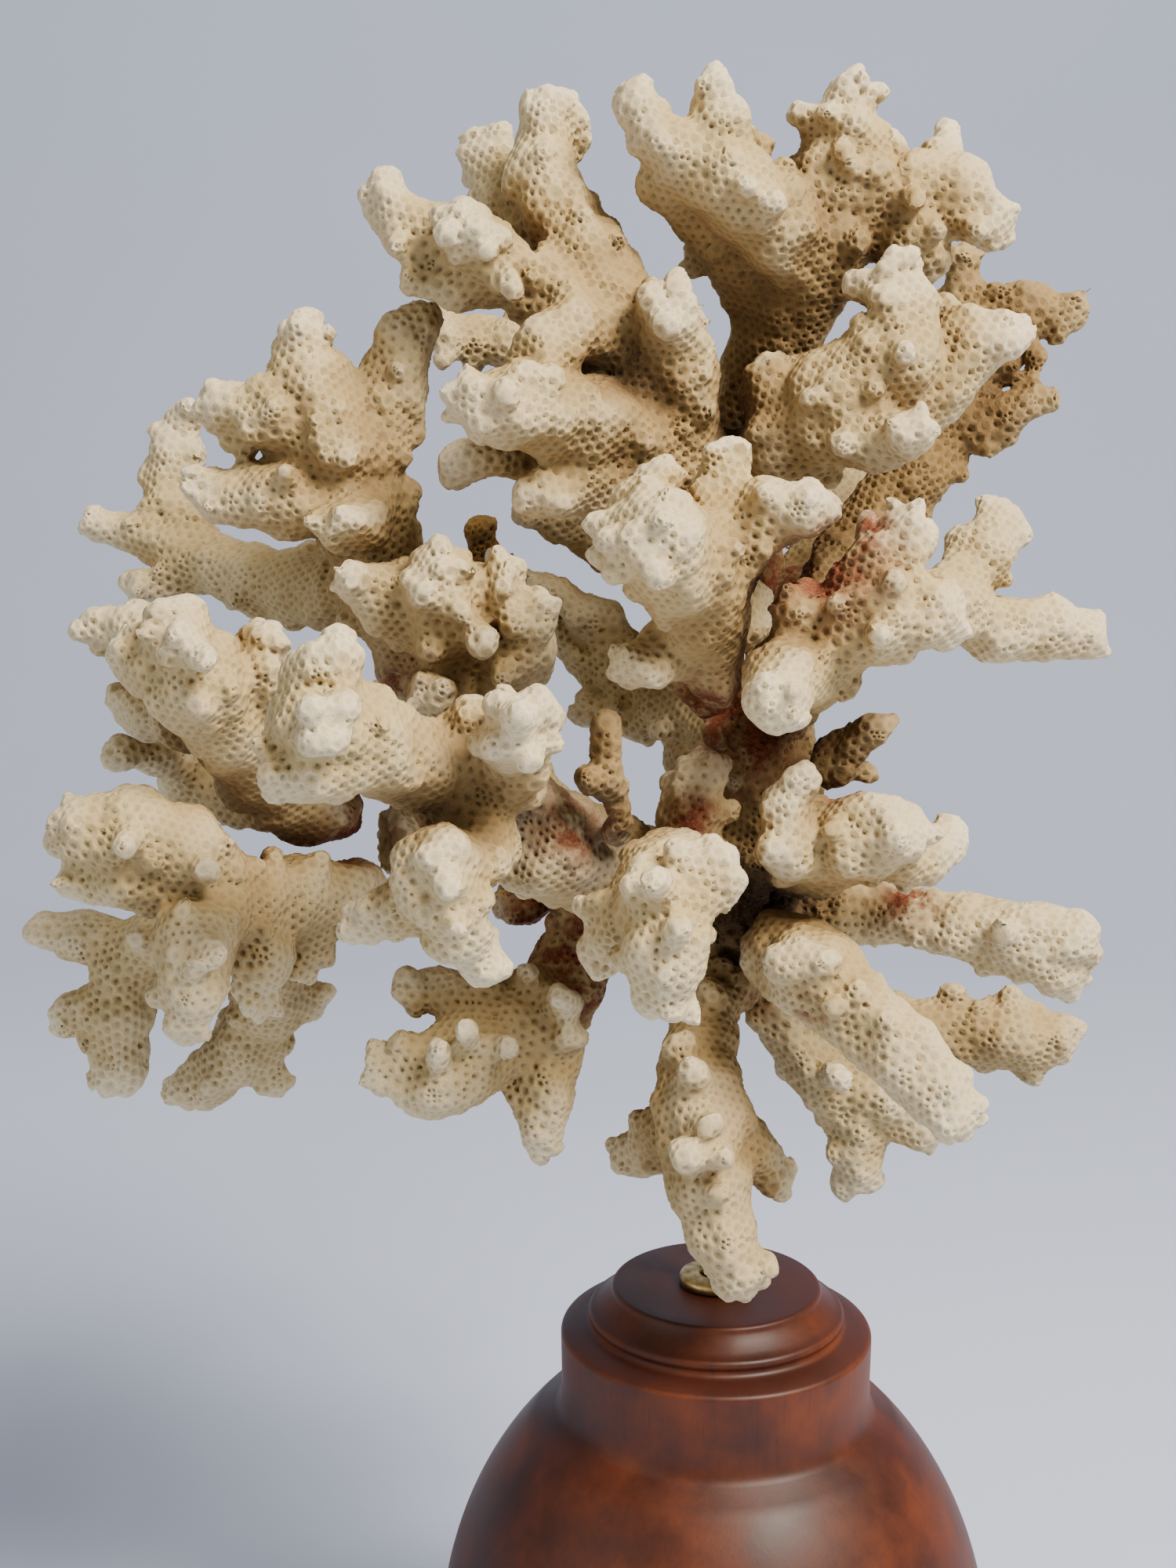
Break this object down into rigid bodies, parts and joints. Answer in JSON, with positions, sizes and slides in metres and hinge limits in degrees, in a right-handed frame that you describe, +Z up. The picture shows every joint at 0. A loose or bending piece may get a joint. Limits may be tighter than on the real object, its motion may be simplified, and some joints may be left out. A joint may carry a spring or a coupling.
{
  "type": "dried branching coral on turned wooden stand",
  "caption": "Dried knobbly branching coral skeleton held on a thin metal rod above a globe-shaped turned wooden stand with a small brass rosette",
  "frame": {"origin": "middle of the stand's foot, on the table", "axes": "+Z up along the rod, -Y toward the coral's front, +X to the right seen from the front"},
  "size_m": [0.1609, 0.1309, 0.2745],
  "materials": {
    "coral_skeleton": "matt, pitted",
    "stained_wood": "waxed, semi-gloss",
    "aged_brass": "aged satin",
    "dull_steel": "dull"
  },
  "bodies": {
    "root": {"coral_back_left_arm": "coral_skeleton", "coral_back_low_arm": "coral_skeleton", "coral_back_mid_arm": "coral_skeleton", "coral_back_right_arm": "coral_skeleton", "coral_back_right_branch": "coral_skeleton", "coral_back_upper_branch": "coral_skeleton", "coral_brown_finger": "coral_skeleton", "coral_centre_left_crown": "coral_skeleton", "coral_down_arm": "coral_skeleton", "coral_far_left_column": "coral_skeleton", "coral_front_bottom_arm": "coral_skeleton", "coral_front_centre_cluster": "coral_skeleton", "coral_front_left_arm": "coral_skeleton", "coral_front_right_arm": "coral_skeleton", "coral_left_limb": "coral_skeleton", "coral_left_lobe": "coral_skeleton", "coral_lower_centre_arm": "coral_skeleton", "coral_lower_left_branch": "coral_skeleton", "coral_lower_right_arm": "coral_skeleton", "coral_lower_right_fork": "coral_skeleton", "coral_mid_right_lobe": "coral_skeleton", "coral_right_back_finger": "coral_skeleton", "coral_right_finger": "coral_skeleton", "coral_right_fork": "coral_skeleton", "coral_right_lobe": "coral_skeleton", "coral_small_fork": "coral_skeleton", "coral_top_branch": "coral_skeleton", "coral_top_right_arm": "coral_skeleton", "coral_trunk": "coral_skeleton", "coral_twigs": "coral_skeleton", "coral_upper_branch": "coral_skeleton", "coral_upper_left_arm": "coral_skeleton", "coral_upper_left_branch": "coral_skeleton", "rod": "dull_steel", "rosette": "aged_brass", "stand": "stained_wood"}
  },
  "joints": []
}
